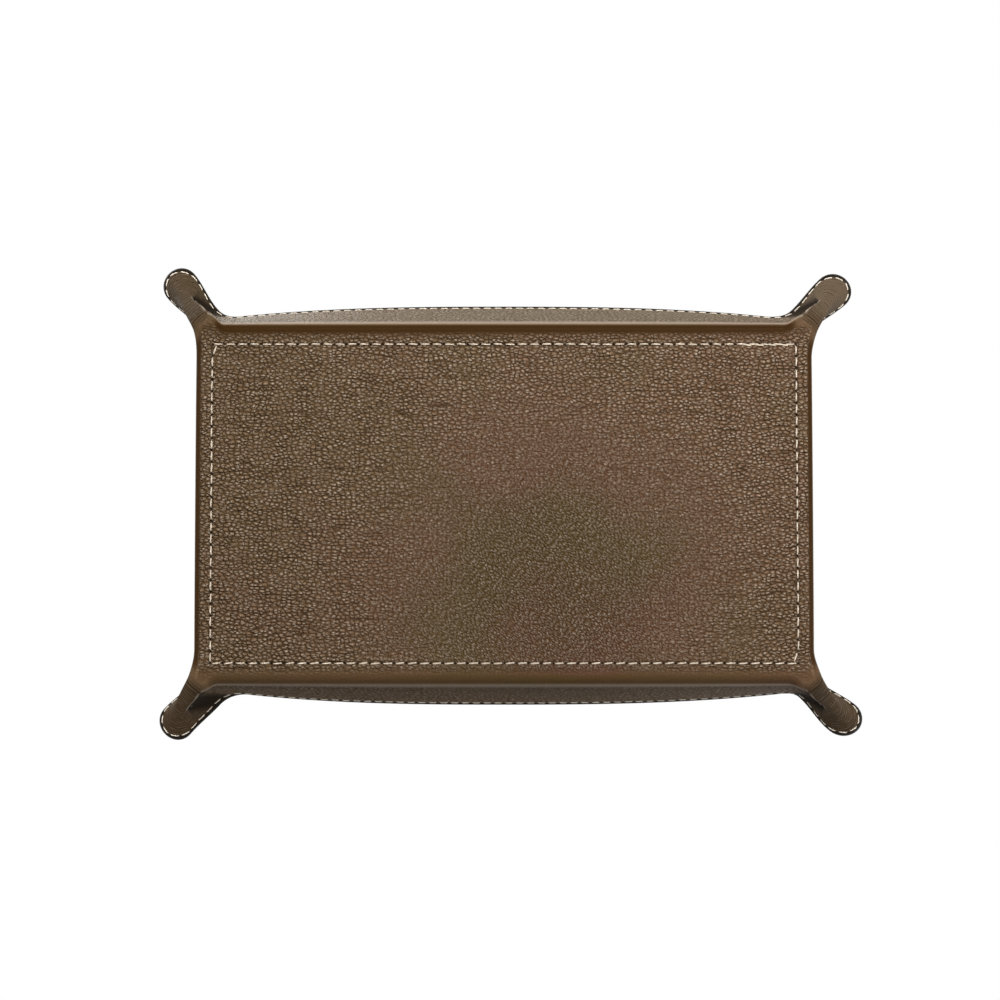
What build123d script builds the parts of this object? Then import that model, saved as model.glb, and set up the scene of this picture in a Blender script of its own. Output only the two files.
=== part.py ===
from build123d import *
import math
import os

# Leather valet tray, lying on its flat base with the open side up.
# X runs along the long side, Y along the short side, Z up from the table.

# Base and walls
base_length = 195.0
base_width = 113.4
wall_height = 36.0
long_wall_lean = 11.4
short_wall_lean = 9.6
long_wall_bow = 3.6
short_wall_bow = 1.2
base_roll = 2.4
roll_angles = (0, 30, 60, 90)

# Layers, from the outside in
leather = 1.1
stiffener = 0.5
stiffener_clearance = 0.03
lining = 0.6
board = 1.5
board_gap = 1.6
board_corner = 3.0
edge_paint = 0.4

# Ears: the leather gathered at a corner, drawn together at the pinch and open at the tip
ear_start = 1.5
ear_reach = 36.0
ear_tip_drop = 2.4
ear_drop_start = 9.0
pinch_reach = 14.5
waist_gap = 1.0
waist_widest = 4.7
ear_widest = 6.8
wall_turn_low = 3.0
wall_turn_high = 7.0

# Each level of an ear: its height, the half width of its waist and the radius of its end
ear_level_shares = [
    (0.00, 0.745, 0.515),
    (0.17, 0.595, 0.400),
    (0.36, 0.450, 0.310),
    (0.50, 0.450, 0.390),
    (0.67, 0.620, 0.540),
    (0.83, 0.820, 0.750),
    (1.00, 1.000, 1.000),
]

# Thread
stitch_pitch = 3.87
stitch_length = 3.1
stitch_width = 0.7
stitch_height = 0.35
groove_width = 1.1
end_seam_inset = 5.3
side_seam_inset = 6.5
rim_seam_drop = 2.6
rim_seam_clearance = 0.25

# Corner tacks, through both sides of a pinch
tack_height = 19.5
tack_radius = 0.4
tack_clearance = 0.05
tack_head_radius = 0.9
tack_head = 0.5
tack_reach_gap = 1.2

# Stiffener panels
panel_end_gap = 8.0
panel_low_gap = 6.0
panel_high_gap = 5.5

# How far a cutting block reaches past what it cuts
overrun = 20.0

half_length = base_length / 2
half_width = base_width / 2
floor_height = leather + board + lining
diagonal = math.sqrt(0.5)
corners = {
    "front_left": (-1, -1),
    "front_right": (1, -1),
    "back_right": (1, 1),
    "back_left": (-1, 1),
}


def ear_point(corner, reach, side, height):
    """A point of an ear: its reach from the base's corner, and its distance towards the long wall."""
    x = half_length + (reach - side) * diagonal
    y = half_width + (reach + side) * diagonal
    return Vector(corner[0] * x, corner[1] * y, height)


def ear_sizes(height):
    """Half width of the waist and radius of the end of an ear at one height."""
    share = height / wall_height
    for low, high in zip(ear_level_shares, ear_level_shares[1:]):
        if share <= high[0]:
            blend = (share - low[0]) / (high[0] - low[0])
            waist_share = low[1] + blend * (high[1] - low[1])
            end_share = low[2] + blend * (high[2] - low[2])
            return waist_share * waist_widest, end_share * ear_widest
    return waist_widest, ear_widest


def wall_end(corner, height, inset, along_x):
    """Where a wall stops and its turn into the ear starts, and the wall's direction there."""
    share = height / wall_height
    waist, _ = ear_sizes(height)
    turn = wall_turn_low + share * (wall_turn_high - wall_turn_low)
    lean = share * (long_wall_lean if along_x else short_wall_lean)
    bow = share * (long_wall_bow if along_x else short_wall_bow)
    half = half_length if along_x else half_width
    other = half_width if along_x else half_length
    reach_along = half + lean - 2 * waist * diagonal - turn
    slope = 2 * math.atan(bow / reach_along)
    along = reach_along - inset * math.sin(slope)
    out = other + lean - inset * math.cos(slope)
    if along_x:
        place = Vector(corner[0] * along, corner[1] * out, height)
        heading = Vector(corner[0] * math.cos(slope), -corner[1] * math.sin(slope), 0)
    else:
        place = Vector(corner[0] * out, corner[1] * along, height)
        heading = Vector(-corner[0] * math.sin(slope), corner[1] * math.cos(slope), 0)
    return place, heading


def wall_edge(start, end, height, inset, along_x):
    """The bowed line of one wall between its two ears."""
    share = height / wall_height
    lean = long_wall_lean if along_x else short_wall_lean
    bow = long_wall_bow if along_x else short_wall_bow
    out = (half_width if along_x else half_length) + share * (lean + bow) - inset
    if along_x:
        middle = Vector(0, math.copysign(out, start.Y), height)
    else:
        middle = Vector(math.copysign(out, start.X), 0, height)
    if share == 0:
        return Edge.make_line(start, end)
    return Edge.make_three_point_arc(start, middle, end)


def ear_edges(corner, height, inset):
    """The outline of one ear from the long wall, round its tip, to the short wall."""
    waist, end = ear_sizes(height)
    share = height / wall_height
    centre = ear_start + share * (ear_reach - ear_start) - end
    neck = min(pinch_reach, centre - waist_gap)
    outwards = Vector(corner[0] * diagonal, corner[1] * diagonal, 0)
    edges = []
    for side, along_x in ((1, True), (-1, False)):
        place, heading = wall_end(corner, height, inset, along_x)
        neck_point = ear_point(corner, neck, side * (waist - inset), height)
        end_point = ear_point(corner, centre, side * (end - inset), height)
        turn = Edge.make_spline([place, neck_point], tangents=[heading, outwards])
        flank = Edge.make_spline([neck_point, end_point], tangents=[outwards, outwards])
        edges.append((turn, flank, end_point))
    tip = ear_point(corner, centre + end - inset, 0, height)
    cap = Edge.make_three_point_arc(edges[0][2], tip, edges[1][2])
    return [edges[0][0], edges[0][1], cap, edges[1][1], edges[1][0]]


def outline(height, inset):
    """The tray's closed outline at one height, moved inwards by inset."""
    edges = []
    for name, along_x in (("front_right", False), ("back_right", True),
                          ("back_left", False), ("front_left", True)):
        corner = corners[name]
        ear = ear_edges(corner, height, inset)
        if along_x:
            ear.reverse()
        names = list(corners)
        following = corners[names[(names.index(name) + 1) % len(names)]]
        start, _ = wall_end(corner, height, inset, along_x)
        stop, _ = wall_end(following, height, inset, along_x)
        edges += ear
        edges.append(wall_edge(start, stop, height, inset, along_x))
    return edges


def filled_tray(inset, start=0, roll=0):
    """The tray's outer shape from one height up, filled, its sides moved inwards, its foot rolled."""
    sections = []
    if roll > 0:
        for angle in roll_angles:
            out = roll * (1 - math.sin(math.radians(angle)))
            sections.append((roll * (1 - math.cos(math.radians(angle))), inset + out))
    else:
        sections.append((start, inset))
    for height_share, _, _ in ear_level_shares:
        height = height_share * wall_height
        if height > sections[-1][0]:
            sections.append((height, inset))
    return Solid.make_loft([Wire(outline(height, out)) for height, out in sections])


def below_rim(solid, drop):
    """Cut a body off at the rim, which falls a little along each ear, and drop below it."""
    top = wall_height - drop
    solid = solid & Pos(0, 0, top) * Box(
        2 * (base_length + ear_reach), 2 * (base_width + ear_reach), wall_height + overrun,
        align=(Align.CENTER, Align.CENTER, Align.MAX))
    slope = math.degrees(math.atan(ear_tip_drop / (ear_reach - ear_drop_start)))
    for corner in corners.values():
        start = ear_point(corner, ear_drop_start, 0, top)
        turn = math.degrees(math.atan2(corner[1], corner[0]))
        wedge = Box(ear_reach + overrun, ear_reach + overrun, overrun,
                    align=(Align.MIN, Align.CENTER, Align.MIN))
        solid = solid - Pos(start) * Rot(0, 0, turn) * Rot(0, slope, 0) * wedge
    return solid


def shells():
    """The filled bodies between the layers: outer face, inner face of the leather, and hollow."""
    outer = filled_tray(0, roll=base_roll)
    inner = filled_tray(leather, leather)
    hollow = filled_tray(leather + lining, floor_height)
    return outer, inner, hollow


def wall_windows():
    """The block of space that each wall's stiffener fills, by the stiffener's name."""
    low = leather + panel_low_gap
    high = wall_height - panel_high_gap
    windows = {}
    for name, side in (("front", -1), ("back", 1)):
        windows[name + "_wall_stiffener"] = Pos(0, side * half_width, (low + high) / 2) * Box(
            base_length - 2 * panel_end_gap, base_width, high - low)
    for name, side in (("left", -1), ("right", 1)):
        windows[name + "_wall_stiffener"] = Pos(side * half_length, 0, (low + high) / 2) * Box(
            base_length, base_width - 2 * panel_end_gap, high - low)
    return windows


def wall_panels(inner):
    """A thin stiffener in each wall and the skived pocket in the leather that it lies in."""
    outside = filled_tray(leather - stiffener - stiffener_clearance, leather)
    skin = outside - filled_tray(leather - stiffener_clearance, leather)
    pocket = outside - inner
    panels = {}
    pockets = []
    for name, window in wall_windows().items():
        panels[name] = skin & window
        pockets.append(pocket & window)
    return panels, pockets


def seam_groove():
    """The shallow groove under the base that the seam lies in."""
    length = base_length - 2 * end_seam_inset
    width = base_width - 2 * side_seam_inset
    outside = Box(length + groove_width, width + groove_width, stitch_height,
                  align=(Align.CENTER, Align.CENTER, Align.MIN))
    inside = Box(length - groove_width, width - groove_width, stitch_height,
                 align=(Align.CENTER, Align.CENTER, Align.MIN))
    return outside - inside


def seam_places(length, width):
    """Middle and direction of each stitch round a rectangle, whole stitches on each side."""
    along = round(length / stitch_pitch)
    across = round(width / stitch_pitch)
    places = []
    for side in (-1, 1):
        for count in range(along):
            places.append((((count + 0.5) / along - 0.5) * length, side * width / 2, 0))
        for count in range(across):
            places.append((side * length / 2, ((count + 0.5) / across - 0.5) * width, 90))
    return places


def base_stitches():
    """The base's seam: one stitch after another, flush in the groove under the leather."""
    stitch = Box(stitch_length, stitch_width, stitch_height,
                 align=(Align.CENTER, Align.CENTER, Align.MIN))
    length = base_length - 2 * end_seam_inset
    width = base_width - 2 * side_seam_inset
    stitches = [stitch.moved(Location((x, y, 0), (0, 0, turn)))
                for x, y, turn in seam_places(length, width)]
    return Compound(children=stitches)


def rim_stitches():
    """The rim's seam on the outside of the leather, following the walls and the ears."""
    stitch = Box(stitch_length, stitch_height, stitch_width)
    upper = wall_height - rim_seam_drop
    lower = upper - ear_tip_drop
    stand_out = rim_seam_clearance + stitch_height / 2
    stitches = []
    for high, low in zip(outline(upper, -stand_out), outline(lower, -stand_out)):
        count = max(1, round(high.length / stitch_pitch))
        for number in range(count):
            place = (number + 0.5) / count
            top = high.position_at(place)
            foot = low.position_at(place)
            reach = (abs(top.X) - half_length + abs(top.Y) - half_width) * diagonal
            share = min(max((reach - ear_drop_start) / (ear_reach - ear_drop_start), 0), 1)
            along = high.tangent_at(place)
            seat = Plane(origin=top + (foot - top) * share, x_dir=along, z_dir=top - foot)
            stitches.append(stitch.moved(seat.location))
    return Compound(children=stitches)


def corner_tack(corner):
    """A short thread bar through both sides of a pinch, with a knot at each end, and its hole."""
    middle = ear_point(corner, pinch_reach, 0, tack_height)
    along = (-corner[0] * diagonal, corner[1] * diagonal, 0)
    across = Plane(origin=middle, x_dir=(0, 0, 1), z_dir=along)
    waist, _ = ear_sizes(tack_height)
    half = waist + tack_reach_gap
    bar = Cylinder(tack_radius, 2 * half)
    for side in (-1, 1):
        bar = bar + Pos(0, 0, side * (half + tack_head / 2)) * Cylinder(tack_head_radius, tack_head)
    hole = Cylinder(tack_radius + tack_clearance, 2 * half + overrun / 2)
    return across.location * bar, across.location * hole


def build():
    """Every piece of the tray by its name."""
    outer, inner, hollow = shells()
    pieces, pockets = wall_panels(inner)
    base_board = Pos(0, 0, leather) * extrude(
        RectangleRounded(base_length - 2 * board_gap, base_width - 2 * board_gap, board_corner), board)
    leather_shell = below_rim(outer - inner, edge_paint) - seam_groove()
    for pocket in pockets:
        leather_shell = leather_shell - pocket
    lining_shell = below_rim(inner - hollow, edge_paint) - base_board
    rim = outer - hollow
    pieces["painted_edge"] = below_rim(rim, 0) - below_rim(rim, edge_paint)
    for name, corner in corners.items():
        tack, hole = corner_tack(corner)
        leather_shell = leather_shell - hole
        lining_shell = lining_shell - hole
        pieces[name + "_corner_tack"] = tack
    pieces["outer_leather"] = leather_shell
    pieces["lining"] = lining_shell
    pieces["base_board"] = base_board
    pieces["base_stitching"] = base_stitches()
    pieces["rim_stitching"] = rim_stitches()
    return pieces


os.makedirs("parts", exist_ok=True)
for name, piece in build().items():
    piece.label = name
    export_step(piece, os.path.join("parts", name + ".step"))
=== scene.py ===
import math
import random
import bpy
from mathutils import Matrix, Vector


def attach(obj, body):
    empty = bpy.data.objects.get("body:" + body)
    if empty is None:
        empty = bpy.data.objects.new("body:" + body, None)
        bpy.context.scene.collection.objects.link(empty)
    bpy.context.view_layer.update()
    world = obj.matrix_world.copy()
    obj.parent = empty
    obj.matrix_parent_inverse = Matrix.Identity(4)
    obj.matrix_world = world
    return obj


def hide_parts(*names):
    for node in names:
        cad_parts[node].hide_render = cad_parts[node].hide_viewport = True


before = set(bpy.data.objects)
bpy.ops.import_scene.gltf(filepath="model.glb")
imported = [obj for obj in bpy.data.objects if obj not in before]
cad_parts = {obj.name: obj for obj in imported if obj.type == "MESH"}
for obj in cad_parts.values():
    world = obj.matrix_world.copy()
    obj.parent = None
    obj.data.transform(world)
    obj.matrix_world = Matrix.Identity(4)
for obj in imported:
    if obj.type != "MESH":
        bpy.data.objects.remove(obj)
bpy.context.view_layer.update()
MM = 0.001
rng = random.Random(7)

# Sizes of the tray in millimetres: its base and walls, how far the long walls (front and back) and the
# short ones (left and right) lean out and bow out at the rim, and how full that bow is
BASE_LENGTH = 195.0
BASE_WIDTH = 113.4
WALL_HEIGHT = 36.0
LONG_LEAN = 11.4
SHORT_LEAN = 9.6
LONG_BOW = 3.6
SHORT_BOW = 1.2
BOW_POWER = 2.7
HALF_LENGTH = BASE_LENGTH / 2
HALF_WIDTH = BASE_WIDTH / 2
DIAGONAL = math.sqrt(0.5)

# The layers: the leather, leather and lining together, the floor, the play between the two leathers,
# and the radius of the base's roll outside, inside and between them
LEATHER = 1.1
SKIN = 1.7
FLOOR = 3.2
LAYER_PLAY = 0.02
BASE_ROLL = 2.4
INNER_ROLL = 2.0
HIDDEN_ROLL = 0.6

# Ears: distances from the base's corner along the ear, widths across it, how much room a wall takes to
# turn into one near the base and at the rim, and how far up and how much an ear's foot splays
EAR_START = 0.8
EAR_REACH = 36.0
EAR_DROP = 2.4
EAR_DROP_START = 9.0
PINCH_REACH = 14.5
WAIST_GAP = 1.0
WAIST_WIDEST = 4.7
EAR_WIDEST = 6.2
WALL_TURN_LOW = 2.6
WALL_TURN_HIGH = 7.0
SPLAY_TOP_SHARE = 0.3
FOOT_SPLAY = math.radians(28)
# The reach that stands for a point on a wall, where no ear has begun
ON_WALL = -8.0
# Each level of an ear: its height, the half width of its waist, the half width of its end, as shares
# of the widest, how long its rounded end is beside that half width, and how square that end is
EAR_LEVELS = (
    (0.00, 0.680, 0.500, 0.95, 2.0),
    (0.17, 0.540, 0.420, 0.88, 2.4),
    (0.36, 0.430, 0.385, 0.85, 2.8),
    (0.47, 0.410, 0.385, 1.00, 2.6),
    (0.60, 0.430, 0.480, 1.45, 2.0),
    (0.75, 0.600, 0.640, 1.60, 2.0),
    (0.88, 0.800, 0.810, 1.40, 2.0),
    (1.00, 1.000, 1.000, 1.00, 2.0),
)
# Each corner: its signs along X and Y, its ear's own turn in degrees, its reach beside the others, how
# far it is pushed towards the long wall, how wide its long wall's flank stands at the rim, and how much
# wider its ridge is on that side near the base
CORNERS = (
    ("front_right", 1, -1, -2.0, 0.985, 0.0, 1.0, 1.5),
    ("back_right", 1, 1, -5.2, 1.03, -0.6, 0.75, 1.2),
    ("back_left", -1, 1, 3.0, 0.945, 0.0, 1.50, 0.8),
    ("front_left", -1, -1, 3.0, 0.975, 1.0, 0.85, 1.5),
)

# How finely a ring round the tray is divided, and the roll at its foot
LONG_STEPS = 84
SHORT_STEPS = 48
TURN_STEPS = 14
FLANK_STEPS = 18
CAP_STEPS = 10
ROLL_STEPS = 8
# Where the rings of the floor's border lie between its edge and the grid in the middle
BORDER_SHARES = (0.07, 0.14, 0.22, 0.32, 0.46, 0.70)

# Thread
PITCH = 3.87
STITCH = 3.15
THREAD = 0.25
SIDE_PITCH = 3.72
BACK_STITCHES = 4
BACK_STITCH_OFFSET = 0.25
END_SEAM = 5.3
SIDE_SEAM = 6.5
RIM_SEAM = 2.75
STITCH_RINGS = 11
STITCH_SIDES = 8
# How the stitches lie, in degrees from their seam: along the front, back and side seams, in the two
# corners where one lies askew and further in, where the thread is stitched back, and round the rim
FRONT_SLANT = 1.5
BACK_SLANT = -6.0
SIDE_SLANT = 2.5
ASKEW_SLANT = 20.0
ASKEW_INSET = 0.9
BACK_STITCH_SLANT = 5.0
RIM_SLANT = 3.0
# How uneven the stitches are: turn in degrees, place across the seam and length
TURN_SPREAD = 2.5
SIDE_SPREAD = 0.06
LENGTH_SPREAD = 0.15
# The pinch thread: its height, and an end with its knot, as pairs of place and radius from the tip in
TACK_HEIGHT = 19.5
TACK_SIDES = 12
KNOT_PROFILE = ((-0.34, 0.0), (-0.32, 0.30), (-0.16, 0.52), (0.06, 0.50), (0.14, 0.30))

# The bead of edge paint: how far in from the outer face and how far above the rim each line of it lies
PAINT_SECTION = (
    (0.05, -1.55), (-0.20, -1.30), (-0.36, -0.8), (-0.36, -0.1), (-0.10, 0.28), (0.40, 0.42),
    (0.85, 0.45), (1.30, 0.42), (1.76, 0.26), (1.98, -0.1), (1.98, -0.8), (1.65, -1.30),
)

# Soft steps of the shape and of the marks on the leather, each as where it starts and how long it is.
# These are in shares of the height: the walls' turn into the ears widens, the ridge's foot narrows,
# its worn edge begins and ends, and the painted shade of the valley beside it begins
TURN_WIDENS = (0.15, 0.6)
RIDGE_NARROWS = (0.10, 0.34)
WORN_BEGINS = (0.04, 0.08)
WORN_ENDS = (0.38, 0.12)
VALLEY_BEGINS = (0.09, 0.06)
# How high the valley's shade goes out on the ear, how much higher beside the wall, and how it fades
SHADE_TOP_SHARE = 0.46
SHADE_MORE_SHARE = 0.44
SHADE_FADE_SHARE = 0.45
# In steps round an ear: its ridge's edge and how wide that is worn, the valley's two sides, the part
# of it beside the wall, and where the painted highlight along the base's roll stops
RIDGE_EDGE = TURN_STEPS + FLANK_STEPS
EDGE_WIDTH = 1.9
VALLEY_NEAR = (3, 6)
VALLEY_FAR = (RIDGE_EDGE - 5, 4)
BESIDE_WALL = (8, RIDGE_EDGE - 12)
HIGHLIGHT_STOPS = (RIDGE_EDGE - 4, 3)
# In millimetres of reach along an ear
WORN_REACH = (-3, 4)
PULLED_REACH = (-4, 10)
CURLED_REACH = (-4, 6)
BAND_STOPS = (ON_WALL + 0.5, 8)
WALL_STOPS = (ON_WALL + 0.3, 1.5)
PINCH_PASSED = (PINCH_REACH - 2, 5)
# In millimetres up from the base: the short walls' roll begins, the roll's pull fades, the dark band of
# darker leather and painted shade ends on long and short walls, and the painted highlight begins and
# ends, on the ears and on the walls
SHORT_ROLL_BEGINS = (0.3, 0.9)
PULL_FADES = (2.8, 6.0)
LONG_BAND_ENDS = (2.2, 1.2)
SHORT_BAND_ENDS = (3.4, 1.2)
HIGHLIGHT_BEGINS = (2.6, 1.2)
HIGHLIGHT_ENDS_ON_EAR = (3.9, 0.9)
HIGHLIGHT_ENDS_ON_WALL = (5.0, 5.0)
# In millimetres on the floor: the smooth borders at the back and the front, the way in from the edge
# over which pull and band fade, the way from a short wall at which the band begins, and the corners
BACK_BORDER = (HALF_WIDTH - SIDE_SEAM + 0.5, 3)
FRONT_BORDER = (HALF_WIDTH - 5.5, 2.5)
BORDER_PULL_FADES = (0.0, 1.4)
BORDER_BAND_FADES = (0.3, 1.0)
BAND_BEGINS = (1.0, 7)
CORNER_PULLED = (HALF_LENGTH + HALF_WIDTH - 10, 6)
# How strong the marks are: the short side's worn edge and valley beside the long side's, the back's
# band beside the front's, the pull of roll, corners and borders, and the painted highlight on wall and
# ear
SHORT_WORN_SHARE = 0.35
SHORT_SHADE_SHARE = 0.3
BACK_BAND_SHARE = 0.62
ROLL_PULL = 0.9
BACK_CORNER_PULL = 0.85
FRONT_CORNER_PULL = 0.3
BACK_BORDER_PULL = 0.75
FRONT_BORDER_PULL = 0.45
BACK_BORDER_DARK = 0.42
FRONT_BORDER_DARK = 0.48
WALL_HIGHLIGHT = 0.72
EAR_HIGHLIGHT = 0.8
# How far apart the wrinkles beyond the pinch lie, beside those of the ridge
WRINKLE_SHARE = 0.7
# What each point of a skin keeps: its place on the flat hide and its way from the pinch, how far it is
# pulled smooth, folded dark (darker leather with painted shade), worn pale or given a painted highlight,
# darkened by painted shade, how far below the rim it lies, and how far it curls
MARKS = ("hide_place", "hide_pull", "hide_fold", "hide_wear", "hide_shade", "hide_drop", "hide_curl")


def smooth(value):
    """A soft step from 0 to 1."""
    value = min(max(value, 0.0), 1.0)
    return value * value * (3 - 2 * value)


def rising(value, step):
    """From 0 to 1 over a soft step, given as where it starts and how long it is."""
    start, length = step
    return smooth((value - start) / length)


def falling(value, step):
    """From 1 to 0 over a soft step."""
    return 1 - rising(value, step)


def curve_weights(t):
    """How much the start, its direction, the end and its direction count part of the way along a soft
    curve."""
    return 2 * t ** 3 - 3 * t ** 2 + 1, t ** 3 - 2 * t ** 2 + t, 3 * t ** 2 - 2 * t ** 3, t ** 3 - t ** 2


def curve_through(rows, place, column):
    """The value of one column of a table at a place, on a smooth curve through its rows."""
    last = len(rows) - 1
    index = next((i for i in range(last) if place <= rows[i + 1][0]), last - 1)
    low, high = rows[index], rows[index + 1]

    def slope(i):
        before, after = rows[max(i - 1, 0)], rows[min(i + 1, last)]
        return (after[column] - before[column]) / (after[0] - before[0])

    width = high[0] - low[0]
    a, b, c, d = curve_weights((place - low[0]) / width)
    start, end = slope(index) * width, slope(index + 1) * width
    return a * low[column] + b * start + c * high[column] + d * end


def bend(start, end, start_way, end_way, steps):
    """Points on a soft curve that leaves start and reaches end in the given directions."""
    length = math.dist(start, end)
    points = []
    for step in range(1, steps + 1):
        a, b, c, d = curve_weights(step / steps)
        points.append(tuple(a * start[i] + b * length * start_way[i]
                            + c * end[i] + d * length * end_way[i] for i in range(2)))
    return points


def ear_place(reach, side, corner, hold):
    """A point of an ear in the corner's own quarter, from its reach and side distances; hold is how
    far it follows the ear's own turn and push."""
    turn, stretch, push = corner[3:6]
    share = hold * max(reach, 0) / EAR_REACH
    reach = reach * (1 + (stretch - 1) * share)
    side = side + hold * push
    angle = math.radians(45 + turn * share)
    x = HALF_LENGTH + reach * math.cos(angle) - side * math.sin(angle)
    y = HALF_WIDTH + reach * math.sin(angle) + side * math.cos(angle)
    return x, y


def to_ear(x, y):
    """A direction or a way from the base's corner, turned into one along and one across the ear."""
    return (x + y) * DIAGONAL, (y - x) * DIAGONAL


def rim_height(reach):
    """The rim's height: level along the walls, and falling a little to each ear's tip."""
    return WALL_HEIGHT - EAR_DROP * rising(reach, (EAR_DROP_START, EAR_REACH - EAR_DROP_START))


def wall_line(share, inset, along_x, waist):
    """Half of one wall's line at a share of the height, from its middle to its turn into the ear, and
    its direction there."""
    lean = share * (LONG_LEAN if along_x else SHORT_LEAN)
    bow = share * (LONG_BOW if along_x else SHORT_BOW)
    half, other = (HALF_LENGTH, HALF_WIDTH) if along_x else (HALF_WIDTH, HALF_LENGTH)
    steps = LONG_STEPS if along_x else SHORT_STEPS
    low = WALL_TURN_LOW if along_x else WALL_TURN_HIGH
    turn = low + (WALL_TURN_HIGH - low) * rising(share, TURN_WIDENS)
    along_end = half + lean - 2 * waist * DIAGONAL - turn
    slope = math.atan(BOW_POWER * bow / along_end)
    points = []
    for step in range(steps + 1):
        t = step / steps
        along = along_end * t - inset * math.sin(slope * t)
        out = other + lean + bow * (1 - t ** BOW_POWER) - inset * math.cos(slope * t)
        points.append((along, out) if along_x else (out, along))
    way = (math.cos(slope), -math.sin(slope))
    return points, way if along_x else way[::-1]


def ear_half(share, inset, corner, along_x):
    """One wall's half line, and the path from its end round the ear to the tip, as distances along and
    across the ear: a turn out of the wall, a flank past the waist and a rounded end."""
    waist, end, cap, square = (curve_through(EAR_LEVELS, share, column) for column in range(1, 5))
    end *= EAR_WIDEST
    cap *= end
    centre = EAR_START + share * (EAR_REACH - EAR_START) - cap
    neck = min(PINCH_REACH, centre - WAIST_GAP)
    foot = falling(share, (0.0, SPLAY_TOP_SHARE))
    splay = FOOT_SPLAY * foot
    side = 1 if along_x else -1
    flank_share, ridge_width = corner[6:]
    flank = 1 + (flank_share - 1) * share * share if along_x else 1
    widened = falling(share, RIDGE_NARROWS) * ridge_width if along_x else 0
    half_waist = waist * WAIST_WIDEST * flank + widened
    half_end = end + widened
    line, way = wall_line(share, inset, along_x, half_waist)
    start = to_ear(line[-1][0] - HALF_LENGTH, line[-1][1] - HALF_WIDTH)
    end_point = (centre + (cap - inset) * math.sin(splay), side * (half_end - inset) * math.cos(splay))
    end_way = (math.cos(splay), -side * math.sin(splay))
    foot_point = [end_point[i] - WAIST_GAP * end_way[i] for i in range(2)]
    neck_point = (foot * foot_point[0] + (1 - foot) * neck,
                  foot * foot_point[1] + (1 - foot) * side * (half_waist - inset))
    path = bend(start, neck_point, to_ear(*way), end_way, TURN_STEPS)
    path += bend(neck_point, end_point, end_way, end_way, FLANK_STEPS)
    for step in range(1, CAP_STEPS + (1 if along_x else 0)):
        angle = splay + (math.pi / 2 - splay) * step / CAP_STEPS
        out, across = math.sin(angle) ** (2 / square), math.cos(angle) ** (2 / square)
        path.append((centre + (cap - inset) * out, side * (half_end - inset) * across))
    return line, path


def fold_marks(share, index, reach, along_x):
    """What an ear's fold does to a point of its path: wear of the ridge's edge, painted shade of the
    valley beside it, and how far the painted highlight along the base's roll runs on there."""
    worn = rising(share, WORN_BEGINS) * falling(share, WORN_ENDS) * rising(reach, WORN_REACH)
    worn *= 1 - smooth(abs(index - RIDGE_EDGE) / EDGE_WIDTH)
    valley = rising(index, VALLEY_NEAR) * falling(index, VALLEY_FAR) * rising(share, VALLEY_BEGINS)
    top = SHADE_TOP_SHARE + SHADE_MORE_SHARE * falling(index, BESIDE_WALL)
    shade = valley * falling(share, (top, SHADE_FADE_SHARE))
    if along_x:
        return worn, shade, falling(index, HIGHLIGHT_STOPS)
    return SHORT_WORN_SHARE * worn, SHORT_SHADE_SHARE * shade, 0.0


def quarter(share, inset, corner):
    """One quarter of a ring at a share of the height, from the middle of the long wall, round the ear,
    to the middle of the short wall: points (x, y, rim height, reach, wear, shade, runs on)."""
    halves = []
    for along_x in (True, False):
        line, path = ear_half(share, inset, corner, along_x)
        points = [(x, y, WALL_HEIGHT, ON_WALL, 0.0, 0.0, 1.0) for x, y in line]
        for index, (reach, across) in enumerate(path):
            hold = smooth((index + 1) / TURN_STEPS)
            x, y = ear_place(reach, across, corner, hold)
            points.append((x, y, rim_height(reach), ON_WALL + hold * (reach - ON_WALL),
                           *fold_marks(share, index, reach, along_x)))
        halves.append(points)
    return halves[0] + halves[1][::-1]


def ring(share, inset):
    """A closed ring round the tray at a share of its height, from its four quarters: points (x, y, z,
    reach, wear, shade, runs on)."""
    points = []
    for corner in CORNERS:
        sign_x, sign_y = corner[1:3]
        path = [(sign_x * x, sign_y * y, share * top, *rest)
                for x, y, top, *rest in quarter(share, inset, corner)]
        if sign_x * sign_y > 0:
            path.reverse()
        points += path[:-1]
    return points


def levels(inset, start, roll, wall_steps):
    """Rings from the floor's edge, round its roll and up the wall: pairs of height share and inset."""
    rows = []
    for step in range(ROLL_STEPS):
        angle = math.radians(90 * step / ROLL_STEPS)
        up, inwards = roll * (1 - math.cos(angle)), roll * (1 - math.sin(angle))
        rows.append(((start + up) / WALL_HEIGHT, inset + inwards))
    foot = (start + roll) / WALL_HEIGHT
    return rows + [(foot + (1 - foot) * step / wall_steps, inset) for step in range(wall_steps + 1)]


def band_faces(first, rows, count, closed=False):
    """Faces between closed rows of points, each with the same count, from index first on; closed rows
    also join the last row to the first."""
    faces = []
    for row in range(rows if closed else rows - 1):
        low, high = first + row * count, first + (row + 1) % rows * count
        for index in range(count):
            following = (index + 1) % count
            faces.append((low + index, low + following, high + following, high + index))
    return faces


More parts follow.
